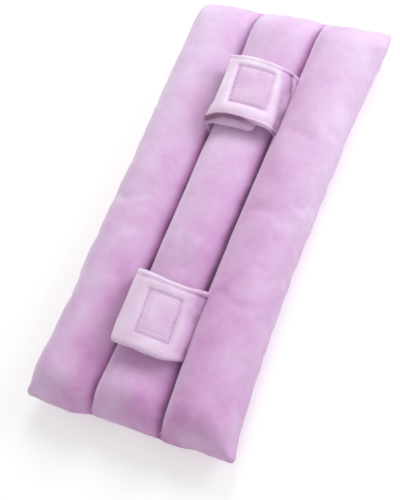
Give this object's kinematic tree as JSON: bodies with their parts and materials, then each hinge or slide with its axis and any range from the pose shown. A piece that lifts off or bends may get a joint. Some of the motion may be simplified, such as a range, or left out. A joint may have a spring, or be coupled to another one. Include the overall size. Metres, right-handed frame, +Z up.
{
  "type": "seat belt shoulder pad",
  "caption": "Long soft plush pad quilted into parallel stuffed channels, with hook-and-loop tabs that close over its middle channel round a seat belt's webbing.",
  "frame": {"origin": "on the surface the pad lies on, under the middle of its centre channel", "axes": "+Y along the channels towards the upper loop, +X across the pad, +Z up through the loops"},
  "size_m": [0.1379, 0.284, 0.0443],
  "materials": {
    "cover_plush": "short-pile plush, lilac pink",
    "tab_plush": "short-pile plush, pale lilac pink",
    "wadding": "white fibre wadding",
    "hook_tape": "woven tape with stiff hooks",
    "pile_tape": "woven tape with soft loops",
    "thread": "spun sewing thread"
  },
  "bodies": {
    "root": {"front_cover_panel": "cover_plush", "back_cover_panel": "cover_plush", "left_channel_wadding": "wadding", "centre_channel_wadding": "wadding", "right_channel_wadding": "wadding", "left_seam_front_thread": "thread", "right_seam_front_thread": "thread", "left_seam_back_thread": "thread", "right_seam_back_thread": "thread", "upper_outer_tab": "tab_plush", "upper_inner_tab": "tab_plush", "upper_hook_patch": "hook_tape", "upper_pile_patch": "pile_tape", "upper_outer_box_stitch": "thread", "upper_inner_box_stitch": "thread", "lower_outer_tab": "tab_plush", "lower_inner_tab": "tab_plush", "lower_hook_patch": "hook_tape", "lower_pile_patch": "pile_tape", "lower_outer_box_stitch": "thread", "lower_inner_box_stitch": "thread"}
  },
  "joints": []
}
